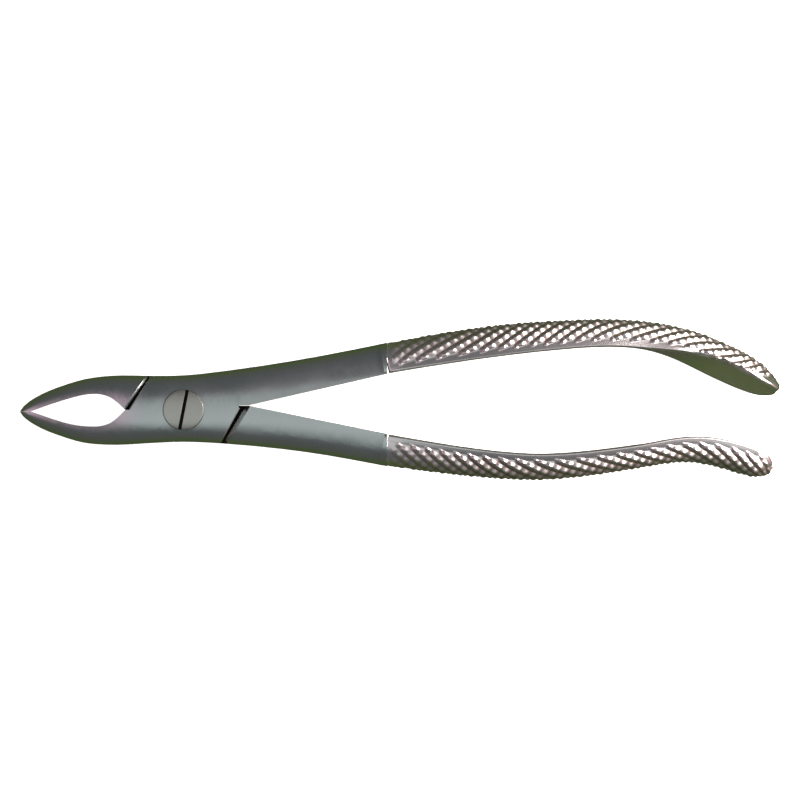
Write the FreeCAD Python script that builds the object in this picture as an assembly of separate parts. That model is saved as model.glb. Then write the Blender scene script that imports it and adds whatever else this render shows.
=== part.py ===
"""Dental extraction forceps: two forged halves on a lap joint, held by a slotted screw.

Sizes are in millimetres.  The origin is on the joint's axis at its flat rear face.
+X runs along the handles, +Y across the tool, and +Z is the joint's axis, out of the
screw's head.  The front half carries the lower beak, the front plate of the joint and
the upper handle.  The rear half carries the upper beak, the rear plate and the lower
handle, and its plate is tapped for the screw.
"""
import FreeCAD, Part
import math
import os

V = FreeCAD.Vector

# ---- lengths from the joint's axis
beak_length = 38.4
shank_length = 47.5
handle_length = 139.6
lower_handle_short = 1.4      # less than the upper handle

# ---- the joint
joint_width = 15.55
joint_offset = 0.3            # how far the joint's middle stands above the axis
joint_thickness = 9.0
front_plate = 4.5             # the front half's share of the thickness
rear_crown = 0.5              # what is ground off the rear face to leave its flat
rear_flat_half = 12.0         # half the length of that flat
parting_gap = 0.06            # between the two plates
joint_squareness = 2.7        # exponent of the crowned section, 2 is an ellipse

# ---- shoulders, where each plate stops short of the other half
beak_shoulder_rim = 8.2       # along X, at the joint's edge
beak_shoulder_mid = 13.7      # along X, at the joint's middle
beak_gap_rim = 0.45
beak_gap_mid = 1.0
handle_shoulder_rim = 9.9
handle_shoulder_mid = 14.65
handle_gap_rim = 0.7
handle_gap_mid = 1.15
beak_shoulder_bevel = 0.55
handle_shoulder_bevel = 0.9
plate_bevel = 0.22
swing_clearance = 0.12        # between a turning plate's corner and a shoulder

# ---- beaks
beak_width = 16.2             # over both beaks, at their widest
beak_tip_width = 1.5          # over both beaks, if the nose were square
beak_nose = 1.1               # length of the nose rounding
beak_tip_thickness = 4.4
beak_sweep = 5.0              # how far the tips stand back from the joint's middle
beak_tip_drop = 0.43          # the tips meet this far below the axis
beak_squareness = 2.3
bite_gap = 0.03               # between the closed tips
beak_opening_width = 7.6      # the almond between the closed beaks
beak_opening_sag = 0.1        # how far its middle lies in the lower beak
beak_opening_end = 13.6       # its end next to the joint
bite_length = 2.3             # the tips touch over this length
hollow_length = 10.0          # each beak is hollowed inside, from near the tip
hollow_depth = 0.4
tooth_pitch = 0.9             # of the cross grooves in the hollow
tooth_depth = 0.16

# ---- shanks, up to the start of the grips
crotch = 14.9                 # where the handles part
crotch_rise = 1.0             # and how far above the axis
crotch_slot = 0.08            # the slit from there back to the plates
notch_start = 12.9            # along X, of the notch that ends each plate at the slit
notch_width = 0.55
shank_thickness = 9.6
shank_squareness = 2.4
shank_end_top = 15.70         # outer edge of the upper shank at its end
shank_end_bottom = 13.2       # outer edge of the lower shank at its end
shank_end_gap = 14.0          # between the shanks at their end
gap_lean = 1.4                # the gap's middle above the axis at the shanks' end

# ---- grips
grip_step = 0.05              # each grip is this much smaller than its shank
grip_overlap = 1.2            # each grip starts this far inside its shank
grip_thickness = 10.2         # across the flat inner face
grip_end_thickness = 11.0
grip_hollow = 0.35            # how far the inner face is dished
grip_edge = 0.8               # rounding of the inner face's edges
upper_nose = 8.5              # length of the upper grip's rounded end
lower_nose = 6.0
grip_squareness = 2.2
upper_grip_depth = 7.65       # from the inner face to the outer crown, at its fullest
upper_waist_depth = 6.85      # where the end begins to turn
upper_end_depth = 6.0
lower_waist_depth = 5.8
lower_end_depth = 6.2
upper_bow = 18.02             # highest point of the upper grip's middle line
upper_end_y = 4.2
lower_bow = 13.35             # lowest point of the lower grip's middle line
lower_waist = 9.45            # where it comes nearest to the upper one again
lower_end_y = 14.4
upper_roll = 28.0             # turn of the upper grip's end, in degrees
lower_roll = 12.0
roll_start = 107.0            # along X
roll_run = 20.0               # and how far along X the turn takes
handle_sweep = 6.0            # how far the grips' ends stand back

# ---- screw
head_diameter = 9.4
head_depth = 2.2
head_gap = 0.12               # round the head
seat_gap = 0.05               # under the head
shoulder_diameter = 6.2
running_gap = 0.03            # round the shoulder
thread_diameter = 5.0
thread_pitch = 0.8
thread_depth = 0.35
slot_width = 0.8
slot_depth = 1.1
slot_angle = 79.0             # from +X, in degrees
point_bevel = 0.3

# ---- worked out from the values above
parting = joint_thickness - front_plate
joint_top = joint_width / 2 + joint_offset
joint_bottom = joint_width / 2 - joint_offset
far = 4 * handle_length
lower_handle_length = handle_length - lower_handle_short
tip_x = -beak_length
FRONT = 1
REAR = -1


# ---------------------------------------------------------------- curves and surfaces
def through(points, x):
    """Height at x of a smooth curve through the points, which are sorted by x."""
    last = len(points) - 1
    i = max(0, min(last - 1, sum(1 for p in points if p[0] <= x) - 1))

    def slope(k):
        a = points[max(0, k - 1)]
        b = points[min(last, k + 1)]
        return (b[1] - a[1]) / (b[0] - a[0])

    (x0, y0), (x1, y1) = points[i], points[i + 1]
    span = x1 - x0
    t = (x - x0) / span
    rise = (2 * t - 3) * t * t
    return ((1 + rise) * y0 - rise * y1
            + span * t * (1 - t) * ((1 - t) * slope(i) - t * slope(i + 1)))


def power(value, exponent):
    """A power that keeps the sign of its base."""
    return math.copysign(abs(value) ** exponent, value)


def skin(rows, across, along):
    """Smooth surface through rows of points, with the given parameters both ways."""
    nets = [Part.BSplineCurve() for _ in rows]
    for curve, row in zip(nets, rows):
        curve.interpolate(Points=row, Parameters=across)
    columns = []
    for k in range(nets[0].NbPoles):
        curve = Part.BSplineCurve()
        curve.interpolate(Points=[net.getPole(k + 1) for net in nets], Parameters=along)
        columns.append(curve)
    poles = [[c.getPole(i + 1) for c in columns] for i in range(columns[0].NbPoles)]
    surface = Part.BSplineSurface()
    surface.buildFromPolesMultsKnots(
        poles, columns[0].getMultiplicities(), nets[0].getMultiplicities(),
        columns[0].getKnots(), nets[0].getKnots(), False, False, 3, 3)
    return surface


def closed_solid(skins):
    """Solid between skins that meet edge to edge, with a flat face over each open end."""
    faces = [surface.toShape() for surface in skins]
    ends = []
    for u in (0, 1):
        edges = []
        for surface in skins:
            at = surface.bounds()[u]
            edges.append(surface.uIso(at).toShape())
        ends.append(Part.Face(Part.Wire(Part.__sortEdges__(edges))))
    shell = Part.Shell(Part.makeShell(faces + ends).Faces)
    shell.sewShape()
    solid = Part.Solid(shell)
    if solid.Volume < 0:
        solid.reverse()
    return solid


def prism(points, low, high):
    """Upright prism over a polygon of (x, y) points."""
    wire = Part.makePolygon([V(x, y, low) for x, y in points + points[:1]])
    return Part.Face(wire).extrude(V(0, 0, high - low))


def curved_prism(curves, low, high):
    """Upright prism over an outline of smooth curves, each a list of (x, y) points."""
    edges = []
    for points in curves:
        curve = Part.BSplineCurve()
        curve.interpolate([V(x, y, low) for x, y in points])
        edges.append(curve.toShape())
    return Part.Face(Part.Wire(Part.__sortEdges__(edges))).extrude(V(0, 0, high - low))


# ---------------------------------------------------------------- outlines of the blank
def nose(x):
    """1 along the beaks, falling to nearly nothing over the rounded nose."""
    along = min(1.0, (x - tip_x) / beak_nose)
    return math.sqrt(max(0.06, 1 - (1 - along) ** 2))


def top_edge(x):
    """Outer edge of the upper beak, the joint and the upper shank."""
    half = beak_width / 2
    rise = shank_end_top - joint_top
    return through([
        (tip_x, beak_tip_width / 2 - beak_tip_drop),
        (-0.90 * beak_length, 0.38 * half),
        (-0.78 * beak_length, 0.63 * half),
        (-0.62 * beak_length, 0.87 * half),
        (-0.44 * beak_length, half - 0.1),
        (-0.25 * beak_length, half - 0.1),
        (0.00, joint_top),
        (crotch, joint_top + 0.23 * rise),
        (0.65 * shank_length, joint_top + 0.57 * rise),
        (shank_length, shank_end_top),
    ], x)


def bottom_edge(x):
    """Outer edge of the lower beak, the joint and the lower shank."""
    half = beak_width / 2
    fall = shank_end_bottom - joint_bottom
    return through([
        (tip_x, -beak_tip_width / 2 - beak_tip_drop),
        (-0.90 * beak_length, -0.47 * half),
        (-0.78 * beak_length, -0.71 * half),
        (-0.62 * beak_length, -0.94 * half),
        (-0.44 * beak_length, -half - 0.1),
        (-0.25 * beak_length, -half + 0.2),
        (0.00, -joint_bottom),
        (crotch, -joint_bottom - 0.15 * fall),
        (0.65 * shank_length, -joint_bottom - 0.48 * fall),
        (shank_length, -shank_end_bottom),
    ], x)


def ridge(x):
    """Line along the middle of the tool, where the crown is highest."""
    return through([
        (tip_x, -beak_tip_drop),
        (-beak_opening_end, 0.0),
        (0.0, 0.2),
        (crotch, crotch_rise),
        (shank_length, gap_lean),
    ], x)


def half_gap(x):
    """Half the distance between the shanks."""
    return max(0.0, shank_end_gap / 2 * (x - crotch) / (shank_length - crotch))


def squareness(x):
    return through([
        (tip_x, beak_squareness),
        (-0.5 * beak_length, beak_squareness),
        (0.0, joint_squareness),
        (shank_length, shank_squareness),
    ], x)


def middle(x):
    """Height of the blank's middle: level in the joint, swept back at the beaks."""
    return through([
        (tip_x, parting - beak_sweep),
        (-0.75 * beak_length, parting - 0.48 * beak_sweep),
        (-0.50 * beak_length, parting - 0.13 * beak_sweep),
        (-0.30 * beak_length, parting),
        (0.0, parting),
        (crotch, parting),
        (shank_length, parting),
    ], x)


def front_height(x):
    return through([
        (tip_x, 0.5 * beak_tip_thickness),
        (-0.6 * beak_length, 0.78 * front_plate),
        (-0.3 * beak_length, front_plate),
        (0.0, front_plate),
        (shank_length, shank_thickness / 2),
    ], x)


def rear_height(x):
    ground = rear_crown + joint_thickness - front_plate
    return through([
        (tip_x, 0.5 * beak_tip_thickness),
        (-0.6 * beak_length, 0.78 * parting),
        (-rear_flat_half, parting - 0.03),
        (0.0, ground),
        (rear_flat_half, parting - 0.03),
        (shank_length, shank_thickness / 2),
    ], x)


# ---------------------------------------------------------------- the blank of both halves
turns = [0, 12, 24, 37, 50, 63, 75, 84, 90]
across_turns = [-t for t in reversed(turns[1:])] + turns


def blank_row(x, side):
    """Points across the blank's front or rear skin at x, from the lower to the upper edge."""
    upper = top_edge(x) - ridge(x)
    lower = ridge(x) - bottom_edge(x)
    gap = half_gap(x)
    root = 2 / squareness(x)
    height = nose(x) ** 0.5 * (front_height(x) if side == FRONT else rear_height(x))
    row = []
    for turn in across_turns:
        s = math.sin(math.radians(turn))
        c = math.cos(math.radians(turn))
        half = nose(x) * (upper if turn > 0 else lower)
        y = gap * power(s, 0.4) + (half - gap) * power(s, root)
        z = 0 if abs(turn) == 90 else height * power(c, root)
        row.append(V(x, ridge(x) + y, middle(x) + side * z))
    return row


def blank():
    """Beaks, joint and shanks as one smooth solid, before anything is cut apart."""
    stations = [tip_x, tip_x + 0.18 * beak_nose, tip_x + 0.5 * beak_nose, tip_x + beak_nose]
    stations += [-f * beak_length for f in (0.92, 0.84, 0.74, 0.62, 0.50, 0.38, 0.26, 0.12)]
    stations += [0.0, 0.5 * crotch, crotch]
    stations += [crotch + f * (shank_length - crotch) for f in (0.2, 0.4, 0.6, 0.8, 1.0)]
    along = [(x - tip_x) / (shank_length - tip_x) for x in stations]
    across = [(turn + 90) / 180 for turn in across_turns]
    front = skin([blank_row(x, FRONT) for x in stations], across, along)
    rear = skin([blank_row(x, REAR) for x in stations], across, along)
    solid = closed_solid([front, rear])
    ground = Part.makeBox(2 * rear_flat_half, far, 20, V(-rear_flat_half, -far / 2, -20))
    return solid.cut(ground)


def beak_opening():
    """The almond between the closed beaks and the fine gap between their tips."""
    start = tip_x + bite_length
    length = -beak_opening_end - start

    def edge(sign):
        half = beak_opening_width / 2 - sign * beak_opening_sag
        drop = ridge(start)
        return [(start, drop),
                (start + 0.20 * length, ridge(start + 0.20 * length) + sign * 0.41 * half),
                (start + 0.42 * length, ridge(start + 0.42 * length) + sign * 0.80 * half),
                (start + 0.64 * length, sign * half),
                (start + 0.83 * length, sign * 0.82 * half),
                (start + 0.95 * length, sign * 0.30 * half),
                (-beak_opening_end, 0.0)]

    almond = curved_prism([edge(1), edge(-1)], -far, far)
    low = -beak_tip_drop - bite_gap / 2
    split = Part.makeBox(bite_length + 2, bite_gap, 2 * far, V(tip_x - 1, low, -far))
    return [almond, split]


def beak_hollow():
    """A cross-grooved cone between the beaks, which hollows both of them at once."""
    start = tip_x + beak_nose
    count = int(hollow_length / tooth_pitch)
    tip = V(start, -beak_tip_drop, middle(start))
    end_x = start + count * tooth_pitch
    axis = V(end_x, ridge(end_x), middle(end_x)) - tip
    spread = 0.5 * beak_opening_width * 0.66 * hollow_length / (0.5 * beak_length)
    profile = [(0, 0)]
    for i in range(count):
        along = i / count
        radius = hollow_depth + along * spread
        profile += [(radius, along), (radius + tooth_depth, along + 0.5 / count)]
    profile += [(hollow_depth + spread, 1.0), (0, 1.0)]
    wire = Part.makePolygon([V(r, 0, f * axis.Length) for r, f in profile + profile[:1]])
    cone = Part.Face(wire).revolve(V(0, 0, 0), V(0, 0, 1), 360)
    cone.Placement = FreeCAD.Placement(tip, FreeCAD.Rotation(V(0, 0, 1), axis))
    return cone


def handle_gap():
    """The wedge between the shanks and the slit at its root."""
    end = 1.2 * shank_length
    spread = half_gap(end)
    lean = crotch_rise + (gap_lean - crotch_rise) * (end - crotch) / (shank_length - crotch)
    wedge = prism([(crotch, crotch_rise), (end, lean + spread), (end, lean - spread)], -far, far)
    slit = Part.makeBox(crotch + 5 * crotch_slot - notch_start, crotch_slot, 2 * far,
                        V(notch_start, crotch_rise - crotch_slot / 2, -far))
    return [wedge, slit]


def notch(side):
    """What the end of a plate loses where it meets the slit between the handles."""
    low = crotch_rise - (notch_width if side == FRONT else 0)
    return Part.makeBox(handle_shoulder_mid - notch_start, notch_width, 2 * far,
                        V(notch_start, low, -far))


# ---------------------------------------------------------------- the lap joint
def edge_line(side, rim, mid, toward):
    """Two points of a plate's or shoulder's edge: at the joint's middle and past its rim.

    toward is -1 at the beaks and 1 at the handles.  On the front side the beak's edge
    leans up and the handle's edge leans down, and on the rear side the other way.
    """
    lean = -toward * side
    base = 0.0 if toward < 0 else crotch_rise
    reach = joint_width / 2
    slope = (rim - mid) / reach
    long = 2.5 * reach
    return [(toward * mid, base), (toward * (mid + slope * long), base + lean * long)]


def line_distance(line):
    (x0, y0), (x1, y1) = line
    return abs(x0 * y1 - x1 * y0) / math.hypot(x1 - x0, y1 - y0)


def beak_plate_line(side):
    return edge_line(side, beak_shoulder_rim - beak_gap_rim, beak_shoulder_mid - beak_gap_mid, -1)


def beak_shoulder_line(side):
    return edge_line(side, beak_shoulder_rim, beak_shoulder_mid, -1)


def handle_plate_line(side):
    return edge_line(side, handle_shoulder_rim - handle_gap_rim,
                     handle_shoulder_mid - handle_gap_mid, 1)


def handle_shoulder_line(side):
    return edge_line(side, handle_shoulder_rim, handle_shoulder_mid, 1)


def other_beak(side):
    """Prism over the other half's beak and the gap at its shoulder."""
    mid, rim = beak_plate_line(side)
    return prism([mid, rim, (-far, rim[1]), (-far, -beak_tip_drop),
                  (tip_x + bite_length, -beak_tip_drop)], -far, far)


def other_handle(side):
    """Prism over the other half's handle and the gap at its shoulder."""
    mid, rim = handle_plate_line(side)
    return prism([mid, rim, (far, rim[1]), (far, gap_lean), (shank_length, gap_lean)],
                 -far, far)


def other_side(side):
    """Prism past the parting plane, over all but this half's own beak and handle."""
    beak_mid, beak_rim = beak_shoulder_line(-side)
    handle_mid, handle_rim = handle_shoulder_line(-side)
    points = [(tip_x + bite_length, -beak_tip_drop), beak_mid, beak_rim,
              (far, beak_rim[1]), (far, gap_lean), (shank_length, gap_lean),
              handle_mid, handle_rim, (-far, handle_rim[1]), (-far, -beak_tip_drop)]
    start = parting + side * parting_gap / 2
    return prism(points, min(start, start - side * far), max(start, start - side * far))


def corner_trim(line):
    """What would strike a shoulder as the plate turns past its nearest point to the axis."""
    (x0, y0), (x1, y1) = line
    size = 2 * joint_width
    along = V(x1 - x0, y1 - y0, 0).normalize() * size
    across = V(along.y, -along.x, 0)
    if across.x * x0 + across.y * y0 < 0:
        across = -across
    corners = [V(0, 0, 0), across, across + along, along]
    quarter = prism([(corner.x, corner.y) for corner in corners], -size, size)
    reach = line_distance(line) - swing_clearance
    return quarter.cut(Part.makeCylinder(reach, 2 * size, V(0, 0, -size)))


def rim_edges(shape, line, side):
    """The edge where the upright wall over a line meets the crowned skin."""
    (x0, y0), (x1, y1) = line
    corner = V(x0, y0, 0)
    normal = V(y1 - y0, x0 - x1, 0).normalize()
    found = []
    for edge in shape.Edges:
        spots = [edge.valueAt(t) for t in edge.ParameterRange]
        spots.append(edge.valueAt(sum(edge.ParameterRange) / 2))
        on_wall = all(abs((spot - corner).dot(normal)) < 0.01 for spot in spots)
        slants = abs(spots[0].x - spots[1].x) > 1
        outside = side * (spots[2].z - parting) > 1
        if on_wall and slants and outside:
            found.append(edge)
    return found


def half_blank(side):
    """Beak, plate and shank of one half, with its shoulders and plate ends bevelled."""
    tools = beak_opening() + handle_gap() + [beak_hollow()]
    tools += [notch(side), other_beak(side), other_handle(side), other_side(side)]
    shape = blank().cut(tools)
    for line in (beak_shoulder_line(side), handle_shoulder_line(side)):
        shape = shape.cut(corner_trim(line))
    for line, facing, size in (
            (beak_shoulder_line(-side), -side, beak_shoulder_bevel),
            (handle_shoulder_line(-side), -side, handle_shoulder_bevel),
            (beak_plate_line(side), side, plate_bevel),
            (handle_plate_line(side), side, plate_bevel)):
        shape = shape.makeChamfer(size, rim_edges(shape, line, facing))
    return shape


# ---------------------------------------------------------------- grips
def shank_depth(side):
    """How deep a shank is in plan at its end."""
    outer = shank_end_top if side == FRONT else shank_end_bottom
    return outer - shank_end_gap / 2 - side * gap_lean


def grip_path(side, x):
    """Middle line of a grip in plan."""
    outer = shank_end_top if side == FRONT else shank_end_bottom
    start = outer - shank_depth(side) / 2
    length = (handle_length if side == FRONT else lower_handle_length) - shank_length
    if side == FRONT:
        rise = upper_bow - start
        fall = upper_bow - upper_end_y
        points = [(-0.08, start - 0.23 * rise), (0.0, start), (0.14, start + 0.38 * rise),
                  (0.29, start + 0.71 * rise), (0.44, start + 0.92 * rise), (0.57, upper_bow),
                  (0.68, upper_bow - 0.06 * fall), (0.77, upper_bow - 0.20 * fall),
                  (0.85, upper_bow - 0.42 * fall), (0.92, upper_bow - 0.65 * fall),
                  (1.0, upper_end_y)]
    else:
        drop = lower_bow - start
        lift = lower_bow - lower_waist
        kick = lower_end_y - lower_waist
        points = [(-0.08, start - 0.35 * drop), (0.0, start), (0.14, start + 0.50 * drop),
                  (0.25, start + 0.81 * drop), (0.37, lower_bow), (0.48, lower_bow - 0.11 * lift),
                  (0.60, lower_bow - 0.46 * lift), (0.69, lower_bow - 0.78 * lift),
                  (0.76, lower_waist), (0.81, lower_waist + 0.05 * kick),
                  (0.88, lower_waist + 0.32 * kick), (0.94, lower_waist + 0.66 * kick),
                  (1.0, lower_end_y)]
    return side * through(points, (x - shank_length) / length)


def grip_middle(side, x):
    """Point on a grip's middle line."""
    back = max(0.0, (x - shank_length) / (handle_length - shank_length))
    return V(x, grip_path(side, x), parting - handle_sweep * back ** 2)


def grip_depth(side, x):
    span = handle_length - shank_length
    start = shank_depth(side)
    if side == FRONT:
        points = [(-0.1, start), (0.0, start), (0.14, upper_grip_depth), (0.3, upper_grip_depth),
                  (0.55, upper_waist_depth), (0.80, upper_waist_depth), (1.0, upper_end_depth)]
    else:
        points = [(-0.1, start), (0.0, start), (0.3, (start + lower_waist_depth) / 2),
                  (0.5, 0.25 * start + 0.75 * lower_waist_depth),
                  (0.70, lower_waist_depth), (0.88, lower_end_depth), (1.0, lower_end_depth)]
    return through(points, (x - shank_length) / span)


def grip_frame(side, x):
    """Middle point and the section's outward and forward directions."""
    here = grip_middle(side, x)
    tangent = (grip_middle(side, x + 0.2) - grip_middle(side, x - 0.2)).normalize()
    outward = V(-tangent.y, tangent.x, 0).normalize() * side
    forward = tangent.cross(outward) * side
    share = min(1.0, max(0.0, (x - roll_start) / roll_run))
    roll = math.radians(upper_roll if side == FRONT else lower_roll)
    roll *= share * share * (3 - 2 * share)
    c = math.cos(roll)
    s = side * math.sin(roll)
    return here, outward * c - forward * s, forward * c + outward * s


def grip_sections(side, x, end_x):
    """The section's outer and inner rows of points."""
    here, outward, forward = grip_frame(side, x)
    left = max(0.0, end_x - x)
    nearness = 1 - min(1.0, left / (upper_nose if side == FRONT else lower_nose))
    scale = math.sqrt(max(0.08, 1 - nearness ** 2))
    depth = grip_depth(side, x) - 2 * grip_step
    swell = max(0.0, (x - roll_start) / (handle_length - roll_start))
    width = grip_thickness + swell * (grip_end_thickness - grip_thickness)
    edge = grip_edge

    def place(a, b):
        return here + outward * (scale * (a - depth / 2)) + forward * (scale * b)

    half = width / 2
    outer = [place(0, edge - half), place(0.29 * edge, 0.29 * edge - half)]
    for turn in (-90, -75, -60, -42, -21, 0, 21, 42, 60, 75, 90):
        s = math.sin(math.radians(turn))
        c = abs(math.cos(math.radians(turn))) if abs(turn) != 90 else 0
        root = 2 / grip_squareness
        outer.append(place(edge + (depth - edge) * c ** root, half * power(s, root)))
    outer += [place(0.29 * edge, half - 0.29 * edge), place(0, half - edge)]
    flat = half - edge
    inner = [place(grip_hollow * (1 - f * f), f * flat) for f in (-1, -0.6, -0.2, 0.2, 0.6, 1)]
    return outer, inner


def grip(side):
    """One grip, dished inside and domed outside, from inside its shank to its round end."""
    end_x = (handle_length if side == FRONT else lower_handle_length) - 0.4
    start_x = shank_length - grip_overlap
    nose_length = upper_nose if side == FRONT else lower_nose
    run = end_x - nose_length - start_x
    stations = [start_x + f * run for f in
                (0, 0.07, 0.15, 0.24, 0.33, 0.42, 0.51, 0.59, 0.66, 0.73, 0.80, 0.87, 0.94, 1.0)]
    stations += [end_x - f * nose_length for f in (0.75, 0.5, 0.28, 0.12, 0.02)]
    rows = [grip_sections(side, x, end_x) for x in stations]
    along = [(x - start_x) / (end_x - start_x) for x in stations]
    count = len(rows[0][0])
    outer = skin([row[0] for row in rows], [i / (count - 1) for i in range(count)], along)
    count = len(rows[0][1])
    inner = skin([row[1] for row in rows], [i / (count - 1) for i in range(count)], along)
    return closed_solid([outer, inner])


# ---------------------------------------------------------------- the joint screw
def head_seat():
    return joint_thickness - head_depth


def screw_bores():
    """What the front plate loses to the screw: a counterbore and a shoulder bore."""
    seat = head_seat() - seat_gap
    wide = Part.makeCylinder(head_diameter / 2 + head_gap, far, V(0, 0, seat))
    return [wide, Part.makeCylinder(shoulder_diameter / 2 + running_gap, far)]


def joint_screw():
    """Slotted screw: crowned head, plain shoulder and a threaded tail, flush at the back."""
    low = parting - parting_gap / 2
    outer = thread_diameter / 2
    root = outer - thread_depth
    profile = [(0, 0), (outer - point_bevel, 0), (outer, point_bevel)]
    turns_of_thread = int((low - 2 * point_bevel) / thread_pitch)
    for i in range(turns_of_thread):
        z = point_bevel + (i + 0.15) * thread_pitch
        profile += [(outer, z), (root, z + 0.42 * thread_pitch), (outer, z + 0.84 * thread_pitch)]
    profile += [(outer, low), (shoulder_diameter / 2, low), (shoulder_diameter / 2, head_seat()),
                (head_diameter / 2, head_seat()), (head_diameter / 2, 2 * joint_thickness),
                (0, 2 * joint_thickness)]
    wire = Part.makePolygon([V(r, 0, z) for r, z in profile + profile[:1]])
    shape = Part.Face(wire).revolve(V(0, 0, 0), V(0, 0, 1), 360)
    slot = Part.makeBox(2 * head_diameter, slot_width, far,
                        V(-head_diameter, -slot_width / 2, joint_thickness - slot_depth))
    slot.rotate(V(0, 0, 0), V(0, 0, 1), slot_angle)
    return shape.common(blank()).cut(slot)


def front_half():
    return half_blank(FRONT).fuse(grip(FRONT)).cut(screw_bores())


def rear_half():
    tapping = Part.makeCylinder(thread_diameter / 2, far, V(0, 0, -far / 2))
    return half_blank(REAR).fuse(grip(REAR)).cut(tapping)


if __name__ == "__main__":
    os.makedirs("parts", exist_ok=True)
    for make in (front_half, rear_half, joint_screw):
        make().exportStep("parts/" + make.__name__ + ".step")
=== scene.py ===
"""Extraction forceps: satin stainless steel, with cut grips and a slotted joint screw."""

import math

import bmesh
import bpy
import numpy as np
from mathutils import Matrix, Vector
from mathutils.bvhtree import BVHTree


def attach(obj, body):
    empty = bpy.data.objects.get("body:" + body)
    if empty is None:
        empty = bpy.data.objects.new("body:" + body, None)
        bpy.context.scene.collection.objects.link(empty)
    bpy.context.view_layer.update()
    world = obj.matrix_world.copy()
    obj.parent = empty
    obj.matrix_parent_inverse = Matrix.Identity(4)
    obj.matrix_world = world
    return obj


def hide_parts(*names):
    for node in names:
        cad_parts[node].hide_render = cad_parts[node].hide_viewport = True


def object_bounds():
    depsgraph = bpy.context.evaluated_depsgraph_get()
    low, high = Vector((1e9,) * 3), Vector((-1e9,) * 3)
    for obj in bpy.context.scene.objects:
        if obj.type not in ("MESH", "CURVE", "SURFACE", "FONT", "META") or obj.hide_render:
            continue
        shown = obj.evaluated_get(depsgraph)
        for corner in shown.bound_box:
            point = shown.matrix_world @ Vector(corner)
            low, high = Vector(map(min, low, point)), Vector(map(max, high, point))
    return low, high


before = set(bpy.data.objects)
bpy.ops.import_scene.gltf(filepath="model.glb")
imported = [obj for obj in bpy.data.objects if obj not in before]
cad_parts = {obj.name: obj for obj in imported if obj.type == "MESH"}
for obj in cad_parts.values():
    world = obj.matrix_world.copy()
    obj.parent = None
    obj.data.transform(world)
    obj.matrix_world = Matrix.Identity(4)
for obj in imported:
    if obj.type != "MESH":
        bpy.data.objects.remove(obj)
CAD_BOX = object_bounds()

MM = 0.001

# ---- where the grips start, and how each is laid out
SHANK_END = 47.5 * MM         # the step between a shank and its grip
GRIP_LAP = 0.4 * MM           # the grip's skin starts this far inside the shank
STEP_BEVEL = 0.06 * MM        # chamfer round a shank's end
STEP_SHORT = 0.01 * MM        # a shank's end stops this far short of the CAD's step
SHARP = 32                    # degrees: edges above it stay hard
RING_STEP = 0.19 * MM         # between the skin's rings
CAP_RINGS = 34
FLAT_COLUMNS = 16             # over the inner face
DOME_COLUMNS = 150            # over the cut outer face
RAYS = 540                    # round each ring, before the columns are spaced evenly
SPINE_ORDER = 8               # of the polynomials along a grip's middle
SPINE_SPOTS = 60              # sections that the middle line is fitted to
GRIP_REACH = 30 * MM          # longer than any ray from the middle line to the skin
END_SETBACK = 4.6 * MM        # from the grip's tip back to the centre of its round end

# ---- the cut of the grips
TOOTH_DEPTH = 0.50 * MM
ROW_PITCH = 2.1 * MM          # between the deep grooves
CROSS_PITCH = 1.95 * MM       # between the shallow ones
STRIP = 1.5 * MM              # plain edge next to the inner face
FLAME_START = 0.6 * MM        # past the strip, where the grooves between rows begin
FLAME = 1.1 * MM              # how far ahead of the grooves the rows' crests begin
RUN_IN = 0.35 * MM            # over which a tooth rises from the strip
TOOTH_START = 0.9 * MM        # from the step, where the first teeth begin
TOOTH_FULL = 1.4 * MM         # and where they are whole
QUICK_DEEPENING = 5 * MM      # run from the step over which the cut deepens fast
SLOW_DEEPENING = 27 * MM      # and the run over which it goes on deepening

# ---- the joint, where its faces are hidden or only seen through a gap
PARTING = 4.5 * MM            # height of the plane between the two plates
LAP_REACH = 16 * MM           # the lap's floor ends within this of the axis, along X
NOTCH_START = 12.9 * MM       # along X, at the crotch
NOTCH_END = 14.6 * MM
NOTCH_REACH = 0.7 * MM        # either side of the crotch
CROTCH_RISE = 1.0 * MM        # of the crotch above the axis

# ---- the screw
HEAD_RADIUS = 4.7 * MM
HEAD_SEAT = 6.8 * MM
SHOULDER_RADIUS = 3.1 * MM
SHOULDER_FLOOR = PARTING - 0.03 * MM    # height where the thread starts
THREAD_CHAMFER = 0.3 * MM
THREAD_RADIUS = 2.5 * MM
THREAD_PITCH = 0.8 * MM
THREAD_DEPTH = 0.35 * MM
SCREW_COLUMNS = 128
SLOT_WIDTH = 0.8 * MM
SLOT_FLOOR = 7.9 * MM
SLOT_ANGLE = math.radians(79)
HEAD_ROUND = 0.10 * MM        # rounding of the head's rim
LIP_BEVEL = 0.045 * MM        # of the slot's lips


# ---------------------------------------------------------------- nodes and colours
def srgb(code):
    """Linear RGBA of an sRGB hex colour such as 9CA2A1."""
    parts = [int(code[i:i + 2], 16) / 255 for i in (0, 2, 4)]
    return [p / 12.92 if p <= 0.04045 else ((p + 0.055) / 1.055) ** 2.4 for p in parts] + [1.0]


def add(tree, kind, links=None, **settings):
    """A new node with its settings, and its inputs linked or set by name or number."""
    node = tree.nodes.new(kind)
    for name, value in settings.items():
        setattr(node, name, value)
    for key, value in (links or {}).items():
        socket = node.inputs[key]
        if isinstance(value, bpy.types.NodeSocket):
            tree.links.new(value, socket)
        else:
            socket.default_value = value
    return node


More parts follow.
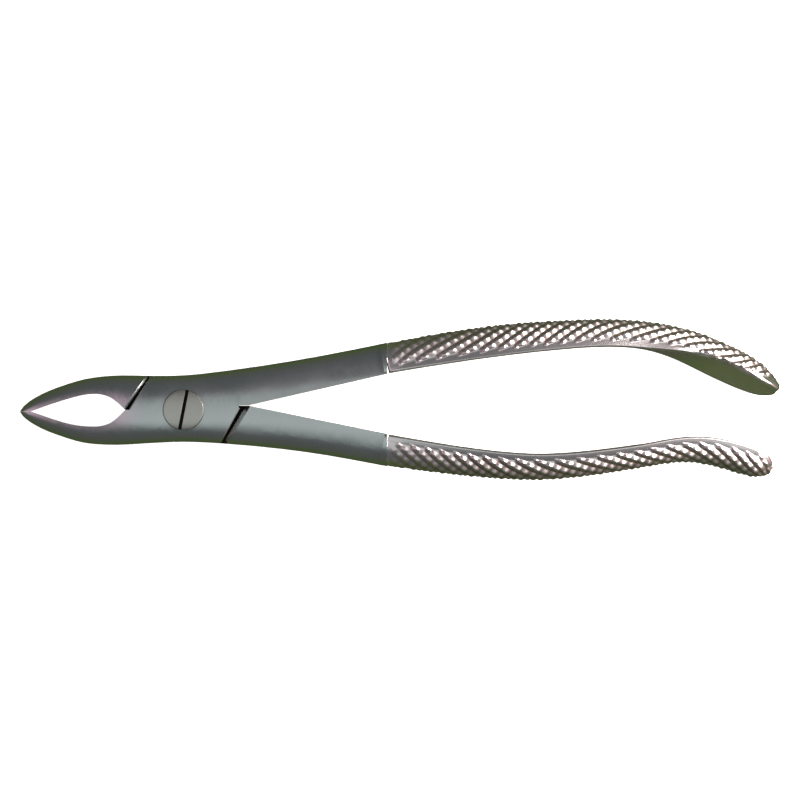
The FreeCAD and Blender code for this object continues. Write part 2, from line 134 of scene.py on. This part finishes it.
def steel(name, colour, roughness):
    """A metal with its shader and coordinates, ready for its own grain."""
    material = bpy.data.materials.new(name)
    material.use_nodes = True
    tree = material.node_tree
    shader = tree.nodes["Principled BSDF"]
    shader.inputs["Base Color"].default_value = srgb(colour)
    shader.inputs["Metallic"].default_value = 1.0
    shader.inputs["Roughness"].default_value = roughness
    place = add(tree, "ShaderNodeTexCoord").outputs["Object"]
    return material, tree, shader, place


def satin_forging():
    """Forged stainless steel, glass-bead blasted and lightly brushed to a satin.

    The blasting gives a soft even sheen, with a grain of about 0.05 mm that only shows
    as a faint sparkle, and handling leaves slightly smoother clouds.
    """
    material, tree, shader, place = steel("satin_stainless_forging", "BEC5C4", 0.28)
    clouds = add(tree, "ShaderNodeTexNoise", {"Vector": place, "Scale": 1 / (9 * MM),
                                              "Detail": 3.0, "Roughness": 0.55})
    rough = add(tree, "ShaderNodeMapRange", {"Value": clouds.outputs["Fac"], "From Min": 0.3,
                                             "From Max": 0.7, "To Min": 0.25, "To Max": 0.31})
    tree.links.new(rough.outputs["Result"], shader.inputs["Roughness"])
    grain = add(tree, "ShaderNodeTexNoise", {"Vector": place, "Scale": 1 / (0.16 * MM),
                                             "Detail": 2.0})
    bump = add(tree, "ShaderNodeBump", {"Height": grain.outputs["Fac"], "Strength": 0.10,
                                        "Distance": 0.02 * MM})
    tree.links.new(bump.outputs["Normal"], shader.inputs["Normal"])
    return material


def painted_gap_shade():
    """Ground lap faces, painted black-brown as shade where they show through the gaps.

    The painted shade darkens the floors and walls of the narrow gaps and the slot, so those read as
    black lines.
    """
    # painted shade: a near-black, mottled at random, stands in for the shade deep in the gaps
    material, tree, shader, place = steel("painted_shade_gap_face", "2B2620", 0.55)
    shade_mottle = add(tree, "ShaderNodeTexNoise", {"Vector": place, "Scale": 1 / (1.2 * MM),
                                             "Detail": 3.0})
    colour = add(tree, "ShaderNodeMix", {"Factor": shade_mottle.outputs["Fac"]}, data_type="RGBA")
    colour.inputs["A"].default_value = srgb("1B1714")
    colour.inputs["B"].default_value = srgb("38322B")
    tree.links.new(colour.outputs["Result"], shader.inputs["Base Color"])
    return material


def cut_grip():
    """The same steel where the grips are cut: bright tooth tips over grooves darkened with painted
    shade.

    The groove attribute is 0 on the teeth's tips and 1 in the bottom of the grooves, and sets how
    much painted shade darkens the steel.
    """
    material, tree, shader, place = steel("cut_stainless_grip", "C9CAC8", 0.32)
    groove = add(tree, "ShaderNodeAttribute", attribute_name="groove").outputs["Fac"]
    # painted shade: the grooves' bottoms are coloured darker than the teeth's tips
    colour = add(tree, "ShaderNodeMix", {"Factor": groove}, data_type="RGBA")
    colour.inputs["A"].default_value = srgb("DEDADA")
    colour.inputs["B"].default_value = srgb("857B74")
    tree.links.new(colour.outputs["Result"], shader.inputs["Base Color"])
    rough = add(tree, "ShaderNodeMapRange", {"Value": groove, "To Min": 0.27, "To Max": 0.42})
    tree.links.new(rough.outputs["Result"], shader.inputs["Roughness"])
    grain = add(tree, "ShaderNodeTexNoise", {"Vector": place, "Scale": 1 / (0.2 * MM),
                                             "Detail": 2.0})
    bump = add(tree, "ShaderNodeBump", {"Height": grain.outputs["Fac"], "Strength": 0.12,
                                        "Distance": 0.02 * MM})
    tree.links.new(bump.outputs["Normal"], shader.inputs["Normal"])
    return material


def turned_screw():
    """Stainless screw, filed flush with the joint: fine straight file lines on its head.

    File lines are about 0.05 mm apart; they are drawn 0.12 mm apart so that they show.
    """
    material, tree, shader, place = steel("filed_stainless_screw", "B6B9B2", 0.34)
    lines = add(tree, "ShaderNodeMapping", {"Vector": place})
    lines.inputs["Scale"].default_value = (1 / (0.12 * MM), 1 / (3 * MM), 1 / (3 * MM))
    lines.inputs["Rotation"].default_value = (0, 0, math.radians(4))
    grain = add(tree, "ShaderNodeTexNoise", {"Vector": lines.outputs["Vector"], "Scale": 1.0,
                                             "Detail": 2.0})
    rough = add(tree, "ShaderNodeMapRange", {"Value": grain.outputs["Fac"], "To Min": 0.26,
                                             "To Max": 0.44})
    tree.links.new(rough.outputs["Result"], shader.inputs["Roughness"])
    bump = add(tree, "ShaderNodeBump", {"Height": grain.outputs["Fac"], "Strength": 0.25,
                                        "Distance": 0.02 * MM})
    tree.links.new(bump.outputs["Normal"], shader.inputs["Normal"])
    return material


# ---------------------------------------------------------------- meshes from the frame
def merged(node):
    """A merged copy of a CAD node's mesh."""
    bm = bmesh.new()
    bm.from_mesh(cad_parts[node].data)
    bmesh.ops.remove_doubles(bm, verts=bm.verts, dist=0.0005 * MM)
    return bm


def new_piece(name, mesh, materials, body, node):
    """An object in the scene that rides on its body and stands for its CAD node."""
    piece = bpy.data.objects.new(name, mesh)
    bpy.context.scene.collection.objects.link(piece)
    # a grip that the tree has cut comes with its material
    for material in materials[len(mesh.materials):]:
        mesh.materials.append(material)
    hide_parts(node)
    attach(piece, body)
    return piece


def in_a_gap(face):
    """Whether a face is the lap's floor, the screw's bore or a wall of the crotch's notch, the
    faces that are painted dark as shade.
    """
    middle = face.calc_center_median()
    reach = math.hypot(middle.x, middle.y)
    if abs(face.normal.z) > 0.999:
        return abs(middle.z - PARTING) < 0.1 * MM and abs(middle.x) < LAP_REACH
    if abs(face.normal.z) > 0.02:
        return False
    if reach < HEAD_RADIUS + 0.3 * MM:
        return True
    return (NOTCH_START - 0.1 * MM < middle.x < NOTCH_END
            and abs(middle.y - CROTCH_RISE) < NOTCH_REACH)


def plain_forging(name, node, materials, body):
    """Beak, joint plate and shank of one half, ending in the chamfered step at its grip."""
    bm = merged(node)
    cut = bmesh.ops.bisect_plane(
        bm, geom=bm.verts[:] + bm.edges[:] + bm.faces[:], plane_no=(1, 0, 0),
        plane_co=(SHANK_END - STEP_SHORT, 0, 0), clear_outer=True)
    rim = [e for e in cut["geom_cut"] if isinstance(e, bmesh.types.BMEdge)]
    cap = bmesh.ops.contextual_create(bm, geom=rim)["faces"]
    bmesh.ops.recalc_face_normals(bm, faces=cap)
    # faces seen only through the gaps take the second material, painted dark as shade
    for face in bm.faces:
        face.material_index = int(in_a_gap(face))
    bmesh.ops.bevel(bm, geom=[e for f in cap for e in f.edges], offset=STEP_BEVEL, segments=1,
                    affect="EDGES", clamp_overlap=True)
    sharp_by_angle(bm)
    mesh = bpy.data.meshes.new(name)
    bm.to_mesh(mesh)
    bm.free()
    return new_piece(name, mesh, materials, body, node)


def sharp_by_angle(bm):
    """Smooth faces, with hard edges where they meet at more than the sharp angle."""
    limit = math.radians(SHARP)
    for face in bm.faces:
        face.smooth = True
    for edge in bm.edges:
        edge.smooth = len(edge.link_faces) == 2 and edge.calc_face_angle(0) < limit


def spine_of(points, tip):
    """Smooth middle line of a grip as (y, z) polynomials in x."""
    xs = np.linspace(SHANK_END + 0.5 * MM, tip - 2 * MM, SPINE_SPOTS)
    middles = []
    for x in xs:
        near = points[np.abs(points[:, 0] - x) < 1.5 * MM]
        middles.append((near.min(0) + near.max(0)) / 2)
    middles = np.array(middles)
    unit = (xs - xs[0]) / (xs[-1] - xs[0])
    fits = [np.polynomial.Polynomial.fit(unit, middles[:, k], SPINE_ORDER) for k in (1, 2)]
    return xs[0], xs[-1], fits


def spine_frame(spine, x, side):
    """Middle, tangent, outward and forward directions at x."""
    x0, x1, (fy, fz) = spine
    t = (x - x0) / (x1 - x0)
    here = Vector((x, fy(t), fz(t)))
    tangent = Vector((x1 - x0, fy.deriv()(t), fz.deriv()(t))).normalized()
    outward = Vector((-tangent.y, tangent.x, 0)).normalized() * side
    forward = tangent.cross(outward) * side
    return here, tangent, outward, forward


def cast(tree, origin, direction):
    """Where a ray meets the skin, or its origin if it meets nothing."""
    hit = tree.ray_cast(origin, direction, GRIP_REACH)[0]
    return hit if hit is not None else origin


def smoothed(values, width):
    """Values along the first axis, blurred by a bell of that many samples."""
    reach = int(3 * width)
    bell = np.exp(-0.5 * (np.arange(-reach, reach + 1) / width) ** 2)
    bell /= bell.sum()
    first = 2 * values[:1] - values[reach:0:-1]
    last = 2 * values[-1:] - values[-2:-reach - 2:-1]
    padded = np.concatenate([first, values, last])
    flat = padded.reshape(len(padded), -1)
    out = np.stack([np.convolve(flat[:, k], bell, "valid") for k in range(flat.shape[1])], 1)
    return out.reshape(values.shape)


def grip_rings(node, side):
    """Rings of points over a grip, from inside the shank to the tip, evenly spaced.

    Each ring starts at the front corner, goes over the dome to the rear corner and
    comes back over the inner face.
    """
    bm = merged(node)
    tree = BVHTree.FromBMesh(bm)
    points = np.array([v.co for v in bm.verts])
    points = points[points[:, 0] > SHANK_END - 0.1 * MM]
    tip = points[:, 0].max()
    bm.free()
    spine = spine_of(points, tip)
    count = int((tip - END_SETBACK - SHANK_END) / RING_STEP)
    xs = np.linspace(SHANK_END + 0.05 * MM, tip - END_SETBACK, count)
    angles = np.linspace(-math.pi, math.pi, RAYS, endpoint=False)
    loops, corners = [], []
    for x in xs:
        here, tangent, outward, forward = spine_frame(spine, x, side)
        loop = np.array([cast(tree, here, outward * math.cos(a) + forward * math.sin(a))
                         for a in angles])
        reach = np.linalg.norm(loop - np.array(here), axis=1)
        front = np.where((angles > math.radians(100)) & (angles < math.radians(160)))[0]
        rear = np.where((angles < math.radians(-100)) & (angles > math.radians(-160)))[0]
        corners.append((angles[front[reach[front].argmax()]], angles[rear[reach[rear].argmax()]]))
        loops.append(loop)
    corners = smoothed(np.array(corners), 3 * MM / RING_STEP)
    rings = smooth_skin(np.array([even_ring(angles, loop, front, rear)
                                  for loop, (front, rear) in zip(loops, corners)]))
    here, tangent = spine_frame(spine, xs[-1], side)[:2]
    cap = round_end(tree, rings[-1], here, tangent)
    return np.concatenate([rings, cap])


def even_ring(angles, loop, front, rear):
    """Points of one ring, evenly spaced over the dome and over the inner face."""
    wide = np.concatenate([angles - 2 * math.pi, angles, angles + 2 * math.pi])
    tripled = np.concatenate([loop, loop, loop])
    length = np.concatenate([[0], np.cumsum(np.linalg.norm(np.diff(tripled, axis=0), axis=1))])

    def at(angle):
        return np.interp(angle, wide, length)

    def spots(start, end, number):
        wanted = np.linspace(at(start), at(end), number, endpoint=False)
        return np.stack([np.interp(wanted, length, tripled[:, k]) for k in range(3)], 1)

    dome = spots(front, rear, DOME_COLUMNS)
    inner = spots(rear, front - 2 * math.pi, FLAT_COLUMNS)
    return np.concatenate([dome, inner])


def smooth_skin(rings):
    """Takes the facets of the ray-cast mesh out of the rings, but keeps their corners."""
    rings = smoothed(rings, 1.6 * MM / RING_STEP)
    dome = np.moveaxis(rings[:, :DOME_COLUMNS + 1], 1, 0)
    dome = np.moveaxis(smoothed(dome, 2.5), 0, 1)
    rings[:, 4:DOME_COLUMNS - 3] = dome[:, 4:DOME_COLUMNS - 3]
    return rings


def round_end(tree, last, here, tangent):
    """Rings over the round end: each point of the last ring swings forward to the tip."""
    centre = np.array(here)
    spokes = last - centre
    spokes /= np.linalg.norm(spokes, axis=1)[:, None]
    cap = []
    for i in range(1, CAP_RINGS + 1):
        turn = math.radians(89.0) * i / CAP_RINGS
        ring = [cast(tree, here, Vector(spoke) * math.cos(turn) + tangent * math.sin(turn))
                for spoke in spokes]
        cap.append(ring)
    cap = np.array(cap)
    joined = smoothed(np.concatenate([last[None], cap]), 1.5)
    return joined[1:]


def grip_mesh(name, rings):
    """A closed skin over the rings, with each point's distance along and round the grip."""
    count, columns = rings.shape[:2]
    start = rings[0].copy()
    start[:, 0] -= GRIP_LAP
    rings = np.concatenate([start[None], rings])
    steps = np.linalg.norm(np.diff(rings, axis=0), axis=2)
    middle = steps[:, DOME_COLUMNS // 2]
    along = np.concatenate([[0], np.cumsum(middle)]) - GRIP_LAP
    round_steps = np.linalg.norm(np.diff(rings[:, :DOME_COLUMNS + 1], axis=1), axis=2)
    around = np.concatenate([np.zeros((count + 1, 1)), np.cumsum(round_steps, axis=1)], axis=1)
    distance = np.zeros((count + 1, columns))
    left = np.zeros((count + 1, columns))
    distance[:, :DOME_COLUMNS + 1] = around
    left[:, :DOME_COLUMNS + 1] = around[:, -1:] - around
    verts = rings.reshape(-1, 3)
    poles = [rings[0].mean(0), rings[-1].mean(0)]
    mesh = bpy.data.meshes.new(name)
    faces = []
    for i in range(count):
        for k in range(columns):
            n = (k + 1) % columns
            a, b = i * columns + k, i * columns + n
            faces.append((a, b, b + columns, a + columns))
    first, last = len(verts), len(verts) + 1
    for k in range(columns):
        n = (k + 1) % columns
        faces.append((n, k, first))
        faces.append((count * columns + k, count * columns + n, last))
    mesh.from_pydata(np.concatenate([verts, poles]).tolist(), [], faces)
    for label, values in (("along", np.repeat(along, columns)), ("round", distance.reshape(-1)),
                          ("left", left.reshape(-1))):
        end = [0.0, along[-1]] if label == "along" else [0.0, 0.0]
        layer = mesh.attributes.new(label, "FLOAT", "POINT")
        layer.data.foreach_set("value", np.concatenate([values, end]).astype(np.float32))
    bm = bmesh.new()
    bm.from_mesh(mesh)
    bmesh.ops.recalc_face_normals(bm, faces=bm.faces)
    for face in bm.faces:
        face.smooth = True
    bm.to_mesh(mesh)
    bm.free()
    return mesh


# ---------------------------------------------------------------- the cut of the grips
def knurl_tree(material):
    """Geometry Nodes that cut two families of grooves into a grip's skin."""
    tree = bpy.data.node_groups.new("cut_grip", "GeometryNodeTree")
    face = tree.interface
    face.new_socket("Geometry", in_out="INPUT", socket_type="NodeSocketGeometry")
    for label in ("row spacing", "stretch", "stretch centre", "stretch length",
                  "row pitch", "cross pitch", "cross angle", "depth", "strip"):
        face.new_socket(label, in_out="INPUT", socket_type="NodeSocketFloat")
    face.new_socket("Geometry", in_out="OUTPUT", socket_type="NodeSocketGeometry")
    given = add(tree, "NodeGroupInput").outputs

    def calc(operation, *values):
        return add(tree, "ShaderNodeMath", dict(enumerate(values)), operation=operation).outputs[0]

    def ramp(value, low, high):
        return add(tree, "ShaderNodeMapRange", {"Value": value, "From Min": low, "From Max": high},
                   interpolation_type="SMOOTHSTEP").outputs["Result"]

    def attribute(label):
        return add(tree, "GeometryNodeInputNamedAttribute", {"Name": label},
                   data_type="FLOAT").outputs["Attribute"]

    along, around, left = attribute("along"), attribute("round"), attribute("left")

    # rows: deep grooves whose spacing along the grip opens and closes gently
    swing = calc("MULTIPLY", calc("DIVIDE", calc("SUBTRACT", along, given["stretch centre"]),
                                  given["stretch length"]), math.tau)
    shift = calc("MULTIPLY", calc("MULTIPLY", calc("SINE", swing), given["stretch"]),
                 calc("DIVIDE", given["stretch length"], math.tau))
    even = calc("DIVIDE", calc("SUBTRACT", along, shift), given["row spacing"])
    rise = calc("DIVIDE", calc("SQRT", calc("SUBTRACT", 1.0, calc("POWER", calc(
        "DIVIDE", given["row pitch"], given["row spacing"]), 2.0))), given["row pitch"])
    rows = calc("SUBTRACT", even, calc("MULTIPLY", around, rise))

    # cross grooves, the other way
    cross = calc("DIVIDE", calc("ADD", calc("MULTIPLY", along, calc("SINE", given["cross angle"])),
                                calc("MULTIPLY", around, calc("COSINE", given["cross angle"]))),
                 given["cross pitch"])

    def crest(phase, sharpness):
        """0 in the groove, 1 on the crest."""
        wave = calc("MULTIPLY", calc("PINGPONG", phase, 0.5), 2.0)
        return calc("MINIMUM", calc("MULTIPLY", wave, sharpness), 1.0)

    cell = add(tree, "ShaderNodeCombineXYZ", {0: calc("FLOOR", calc("ADD", rows, 0.5)),
                                              1: calc("FLOOR", calc("ADD", cross, 0.5))})
    random = add(tree, "ShaderNodeTexWhiteNoise", {"Vector": cell.outputs[0]},
                 noise_dimensions="3D").outputs["Value"]
    high = calc("MULTIPLY_ADD", random, -0.14, 1.0)
    beads = calc("MULTIPLY_ADD", crest(cross, 1.3), 0.66, 0.34)
    ridge = crest(rows, 1.12)
    height = calc("MULTIPLY", calc("MULTIPLY", ridge, beads), high)

    # the teeth stand clear of the plain strips, which slope down to the bottom of the cut
    strip = given["strip"]
    near = calc("MINIMUM", around, left)
    slope = add(tree, "ShaderNodeMapRange", {"Value": near, "From Max": strip}).outputs["Result"]
    flame = calc("ADD", strip, calc("MULTIPLY_ADD", ridge, -FLAME, FLAME_START))
    inside = calc("MULTIPLY", ramp(near, flame, calc("ADD", flame, RUN_IN)),
                  ramp(along, TOOTH_START, TOOTH_FULL))
    # the cut is a quarter of its depth at the step, and whole once both runs are over
    deepen = calc("MULTIPLY_ADD", ramp(along, 0.0, QUICK_DEEPENING), 0.35, 0.25)
    deepen = calc("MULTIPLY_ADD", ramp(along, 0.0, SLOW_DEEPENING), 0.40, deepen)
    sunk = calc("MULTIPLY", calc("MULTIPLY", slope, deepen),
                calc("SUBTRACT", 1.0, calc("MULTIPLY", height, inside)))
    # the groove attribute: how deep a point lies in the cut, by which the grip's material paints
    # shade into the grooves
    groove = calc("MULTIPLY", calc("MULTIPLY", calc("SUBTRACT", 1.0, height), inside), deepen)

    store = add(tree, "GeometryNodeStoreNamedAttribute",
                {"Geometry": given["Geometry"], "Name": "groove", "Value": groove},
                data_type="FLOAT", domain="POINT")
    offset = add(tree, "ShaderNodeVectorMath", {0: add(tree, "GeometryNodeInputNormal").outputs[0]},
                 operation="SCALE")
    tree.links.new(calc("MULTIPLY", calc("MULTIPLY", sunk, given["depth"]), -1.0),
                   offset.inputs["Scale"])
    move = add(tree, "GeometryNodeSetPosition", {"Geometry": store.outputs["Geometry"],
                                                 "Offset": offset.outputs[0]})
    real = add(tree, "GeometryNodeRealizeInstances", {"Geometry": move.outputs["Geometry"]})
    paint = add(tree, "GeometryNodeSetMaterial", {"Geometry": real.outputs["Geometry"],
                                                  "Material": material})
    add(tree, "NodeGroupOutput", {"Geometry": paint.outputs["Geometry"]})
    return tree


def cut(piece, tree, sizes):
    """The piece's mesh after the tree has cut it."""
    modifier = piece.modifiers.new("cut", "NODES")
    modifier.node_group = tree
    for item in tree.interface.items_tree:
        if item.in_out == "INPUT" and item.name in sizes:
            modifier[item.identifier] = sizes[item.name]
    graph = bpy.context.evaluated_depsgraph_get()
    mesh = bpy.data.meshes.new_from_object(piece.evaluated_get(graph))
    piece.modifiers.remove(modifier)
    return mesh


def cut_grip_piece(name, node, side, body, tree, material, sizes):
    """One grip, its skin taken from the CAD half and its teeth cut by the tree."""
    skin = grip_mesh(name + "_blank", grip_rings(node, side))
    blank = bpy.data.objects.new(name + "_blank", skin)
    bpy.context.scene.collection.objects.link(blank)
    mesh = cut(blank, tree, sizes)
    mesh.name = name
    bpy.data.objects.remove(blank)
    return new_piece(name, mesh, [material], body, node)


# ---------------------------------------------------------------- the screw
def crown_of(node):
    """Height of the screw's crowned top at x and y, as a smooth surface over its slot."""
    bm = merged(node)
    tree = BVHTree.FromBMesh(bm)
    bm.free()
    spots, heights = [], []
    for r in np.linspace(0.5, 0.97, 8) * HEAD_RADIUS:
        for a in np.linspace(0, math.tau, 60, endpoint=False):
            x, y = r * math.cos(a), r * math.sin(a)
            hit = tree.ray_cast(Vector((x, y, 0.02)), Vector((0, 0, -1)))[0]
            if hit.z > SLOT_FLOOR + 0.1 * MM:
                spots.append((x / HEAD_RADIUS, y / HEAD_RADIUS))
                heights.append(hit.z)

    def terms(x, y):
        return [1, y, y * y, y ** 3, y ** 4, x, x * x, x * y, x * y * y]

    fit = np.linalg.lstsq(np.array([terms(x, y) for x, y in spots]), np.array(heights),
                          rcond=None)[0]
    return lambda x, y: float(np.dot(terms(x / HEAD_RADIUS, y / HEAD_RADIUS), fit))


def screw_body(crown):
    """The screw before its slot: crowned head with a rounded rim, shoulder and thread."""
    rings = [(share * (HEAD_RADIUS - HEAD_ROUND), None, 0.0)
             for share in (0.15, 0.3, 0.45, 0.6, 0.75, 0.88)]
    for i in range(6):
        turn = math.radians(90) * i / 5
        rings.append((HEAD_RADIUS - HEAD_ROUND * (1 - math.sin(turn)), None,
                      HEAD_ROUND * (1 - math.cos(turn))))
    rings += [(HEAD_RADIUS, HEAD_SEAT, 0.0), (SHOULDER_RADIUS, HEAD_SEAT, 0.0),
              (SHOULDER_RADIUS, SHOULDER_FLOOR, 0.0), (THREAD_RADIUS, SHOULDER_FLOOR, 0.0)]
    turns = int((SHOULDER_FLOOR - 2 * THREAD_CHAMFER) / THREAD_PITCH)
    for i in reversed(range(turns)):
        z = THREAD_CHAMFER + (i + 0.15) * THREAD_PITCH
        for share, radius in ((0.84, THREAD_RADIUS), (0.42, THREAD_RADIUS - THREAD_DEPTH),
                              (0.0, THREAD_RADIUS)):
            rings.append((radius, z + share * THREAD_PITCH, 0.0))
    rings += [(THREAD_RADIUS, THREAD_CHAMFER, 0.0), (THREAD_RADIUS - THREAD_CHAMFER, 0.0, 0.0)]
    bm = bmesh.new()
    loops = []
    for radius, height, drop in rings:
        loop = []
        for k in range(SCREW_COLUMNS):
            a = math.tau * k / SCREW_COLUMNS
            x, y = radius * math.cos(a), radius * math.sin(a)
            loop.append(bm.verts.new((x, y, crown(x, y) - drop if height is None else height)))
        loops.append(loop)
    top = bm.verts.new((0, 0, crown(0, 0)))
    tail = bm.verts.new((0, 0, 0))
    for k in range(SCREW_COLUMNS):
        n = (k + 1) % SCREW_COLUMNS
        bm.faces.new((top, loops[0][k], loops[0][n]))
        bm.faces.new((tail, loops[-1][n], loops[-1][k]))
        for upper, lower in zip(loops, loops[1:]):
            bm.faces.new((upper[k], lower[k], lower[n], upper[n]))
    bmesh.ops.recalc_face_normals(bm, faces=bm.faces)
    mesh = bpy.data.meshes.new("screw_blank")
    bm.to_mesh(mesh)
    bm.free()
    return mesh


def slot_cutter():
    """A bar as wide as the slot, lying across the head at the slot's angle."""
    bm = bmesh.new()
    bmesh.ops.create_cube(bm, size=1)
    high = 4 * MM
    for v in bm.verts:
        x, y = v.co.x * 4 * HEAD_RADIUS, v.co.y * SLOT_WIDTH
        c, s = math.cos(SLOT_ANGLE), math.sin(SLOT_ANGLE)
        v.co = Vector((x * c - y * s, x * s + y * c, SLOT_FLOOR + (v.co.z + 0.5) * high))
    mesh = bpy.data.meshes.new("slot_cutter")
    bm.to_mesh(mesh)
    bm.free()
    return mesh


def joint_screw(name, node, materials, body):
    """Crowned screw with its slot cut and the slot's lips broken; the slot's walls and floor are
    painted dark as shade.
    """
    blank = bpy.data.objects.new("screw_blank", screw_body(crown_of(node)))
    cutter = bpy.data.objects.new("slot_cutter", slot_cutter())
    for thing in (blank, cutter):
        bpy.context.scene.collection.objects.link(thing)
    cut_slot = blank.modifiers.new("slot", "BOOLEAN")
    cut_slot.object = cutter
    cut_slot.solver = "EXACT"
    lips = blank.modifiers.new("lips", "BEVEL")
    lips.width = LIP_BEVEL
    lips.segments = 2
    lips.limit_method = "ANGLE"
    lips.angle_limit = math.radians(50)
    graph = bpy.context.evaluated_depsgraph_get()
    mesh = bpy.data.meshes.new_from_object(blank.evaluated_get(graph))
    mesh.name = name
    for thing in (blank, cutter):
        bpy.data.objects.remove(thing)
    bm = bmesh.new()
    bm.from_mesh(mesh)
    across = Vector((-math.sin(SLOT_ANGLE), math.cos(SLOT_ANGLE), 0))
    for face in bm.faces:
        middle = face.calc_center_median()
        within = abs(middle.dot(across)) < 0.501 * SLOT_WIDTH and middle.z > SLOT_FLOOR - 0.1 * MM
        steep = abs(face.normal.z) < 0.3 or middle.z < SLOT_FLOOR + 0.1 * MM
        # the slot's walls and floor take the second material, painted dark as shade
        face.material_index = int(within and steep)
    sharp_by_angle(bm)
    bm.to_mesh(mesh)
    bm.free()
    return new_piece(name, mesh, materials, body, node)


# ---------------------------------------------------------------- studio
def studio_floor(low):
    """A pale sheet just under the forceps; the metal's shine doesn't pick it up."""
    material = bpy.data.materials.new("pale_paper_floor")
    material.use_nodes = True
    shader = material.node_tree.nodes["Principled BSDF"]
    shader.inputs["Base Color"].default_value = srgb("F4F4F2")
    shader.inputs["Roughness"].default_value = 0.9
    shader.inputs["Emission Color"].default_value = srgb("FFFFFF")
    shader.inputs["Emission Strength"].default_value = 0.88
    half = 2.0
    mesh = bpy.data.meshes.new("floor")
    corners = [(-half, -half, low), (half, -half, low), (half, half, low), (-half, half, low)]
    mesh.from_pydata(corners, [], [(0, 1, 2, 3)])
    mesh.materials.append(material)
    floor = bpy.data.objects.new("floor", mesh)
    bpy.context.scene.collection.objects.link(floor)
    floor.visible_glossy = False


def studio_light():
    """A soft light overhead, stronger towards the grips' ends, over a dark surround."""
    world = bpy.data.worlds.new("studio")
    bpy.context.scene.world = world
    world.use_nodes = True
    tree = world.node_tree
    tree.nodes.clear()
    toward = add(tree, "ShaderNodeTexCoord").outputs["Generated"]

    def lamp(direction, inner, outer, power):
        """Light from a direction, falling off between two angles."""
        aim = Vector(direction).normalized()
        facing = add(tree, "ShaderNodeVectorMath", {0: toward, 1: aim}, operation="DOT_PRODUCT")
        return add(tree, "ShaderNodeMapRange",
                   {"Value": facing.outputs["Value"], "From Min": math.cos(math.radians(outer)),
                    "From Max": math.cos(math.radians(inner)), "To Max": power},
                   interpolation_type="SMOOTHSTEP").outputs["Result"]

    def glow(colour, strength):
        """A colour times a strength, as light."""
        scaled = add(tree, "ShaderNodeVectorMath", {0: srgb(colour)[:3]}, operation="SCALE")
        tree.links.new(strength, scaled.inputs["Scale"])
        return scaled.outputs[0]

    up = add(tree, "ShaderNodeSeparateXYZ", {0: toward}).outputs["Z"]
    light = srgb("4B4E40")
    for colour, start, end in (("54643A", -1.0, -0.55), ("5E6055", -0.40, 0.10),
                               ("5C5F61", 0.10, 0.70)):
        rise = add(tree, "ShaderNodeMapRange", {"Value": up, "From Min": start, "From Max": end},
                   interpolation_type="SMOOTHSTEP").outputs["Result"]
        surround = add(tree, "ShaderNodeMix", {"Factor": rise, "A": light}, data_type="RGBA")
        surround.inputs["B"].default_value = srgb(colour)
        light = surround.outputs["Result"]
    for part in (glow("F4FFFC", lamp((0.0, -0.19, 1.0), 2, 25, 0.60)),
                 glow("FFD2E6", lamp((-0.72, 0.0, 1.0), 3, 30, 0.85)),
                 glow("FFC4D4", lamp((0.80, -0.50, 0.12), 3, 34, 0.45)),
                 glow("FFF4F4", lamp((0.58, 0.10, 1.0), 3, 23, 1.3))):
        light = add(tree, "ShaderNodeVectorMath", {0: light, 1: part}, operation="ADD").outputs[0]
    glow_shader = add(tree, "ShaderNodeBackground", {"Color": light, "Strength": 1.0})
    seen = add(tree, "ShaderNodeBackground", {"Color": srgb("FFFFFF"), "Strength": 1.0})
    ray = add(tree, "ShaderNodeLightPath").outputs["Is Camera Ray"]
    both = add(tree, "ShaderNodeMixShader", {0: ray, 1: glow_shader.outputs[0], 2: seen.outputs[0]})
    add(tree, "ShaderNodeOutputWorld", {"Surface": both.outputs[0]})


def softbox():
    """A soft lamp close above the ends of the grips, which makes their teeth glint."""
    data = bpy.data.lights.new("softbox", "AREA")
    data.shape = "RECTANGLE"
    data.size = 320 * MM
    data.size_y = 90 * MM
    data.energy = 0.6
    data.spread = math.radians(80)
    data.color = srgb("FFF3F0")[:3]
    lamp = bpy.data.objects.new("softbox", data)
    lamp.location = (215 * MM, 20 * MM, 80 * MM)
    aim = Vector((130 * MM, 0, 0)) - lamp.location
    lamp.rotation_euler = aim.to_track_quat("-Z", "Y").to_euler()
    bpy.context.scene.collection.objects.link(lamp)


def camera():
    """Straight down on the joint's face, far enough back to flatten the view."""
    field = 186.9 * MM
    distance = 2000 * MM
    data = bpy.data.cameras.new("camera")
    data.sensor_width = 36.0
    data.lens = data.sensor_width * distance / field
    data.clip_start = 0.05
    cam = bpy.data.objects.new("camera", data)
    cam.location = (50.5 * MM, 2.3 * MM, distance + 4.5 * MM)
    bpy.context.scene.collection.objects.link(cam)
    bpy.context.scene.camera = cam


camera()
bpy.context.scene.view_settings.view_transform = "Standard"

forging = satin_forging()
grip_steel = cut_grip()
screw_steel = turned_screw()
lap = painted_gap_shade()

plain_forging("front_forging", "front_half", [forging, lap], "front_body")
plain_forging("rear_forging", "rear_half", [forging, lap], "rear_body")

knurl = knurl_tree(grip_steel)
common = {"row pitch": ROW_PITCH, "cross pitch": CROSS_PITCH, "cross angle": math.radians(58),
          "depth": TOOTH_DEPTH, "strip": STRIP}
cut_grip_piece("front_grip", "front_half", 1, "front_body", knurl, grip_steel,
               dict(common, **{"row spacing": 4.2 * MM, "stretch": 0.20,
                               "stretch centre": 59 * MM, "stretch length": 44 * MM}))
cut_grip_piece("rear_grip", "rear_half", -1, "rear_body", knurl, grip_steel,
               dict(common, **{"row spacing": 4.1 * MM, "stretch": 0.22,
                               "stretch centre": 43 * MM, "stretch length": 60 * MM}))

joint_screw("slotted_screw", "joint_screw", [screw_steel, lap], "rear_body")

studio_floor(CAD_BOX[0].z)
studio_light()
softbox()
